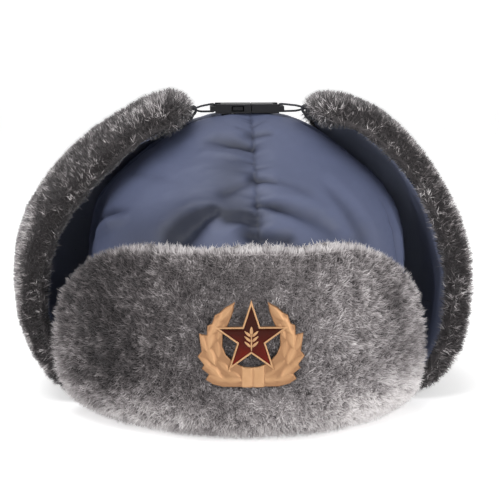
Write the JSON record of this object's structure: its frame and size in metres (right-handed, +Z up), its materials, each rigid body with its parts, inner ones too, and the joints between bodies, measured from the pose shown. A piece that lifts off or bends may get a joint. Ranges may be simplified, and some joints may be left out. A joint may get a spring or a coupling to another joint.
{
  "type": "ushanka",
  "caption": "Winter hat with a padded blue-grey cloth crown, grey fur flaps turned up and buckled over the top, and a gilt badge with a red star on the front flap.",
  "frame": {"origin": "under the middle of the hat's box, on the surface that the hat rests on", "axes": "+Z up, -Y the way the hat faces, +X the wearer's left"},
  "size_m": [0.2348, 0.252, 0.1536],
  "materials": {
    "crown_cloth": "satin nylon",
    "facing_cloth": "satin nylon",
    "fur": "dense sheared pile",
    "gilt_metal": "gilt, satin",
    "red_enamel": "glossy enamel",
    "black_plastic": "satin, moulded",
    "black_tape": "woven tape",
    "black_cord": "braided cord"
  },
  "bodies": {
    "root": {"crown": "crown_cloth", "front_flap_fur": "fur", "front_flap_facing": "facing_cloth", "ear_flap_right_fur": "fur", "ear_flap_right_facing": "facing_cloth", "ear_flap_left_fur": "fur", "ear_flap_left_facing": "facing_cloth", "neck_flap_fur": "fur", "neck_flap_facing": "facing_cloth", "badge_plate": "gilt_metal", "badge_enamel": "red_enamel", "buckle_socket": "black_plastic", "buckle_plug": "black_plastic", "tie_tape_right": "black_tape", "tie_tape_left": "black_tape", "tie_cord_right": "black_cord", "tie_cord_left": "black_cord"}
  },
  "joints": []
}
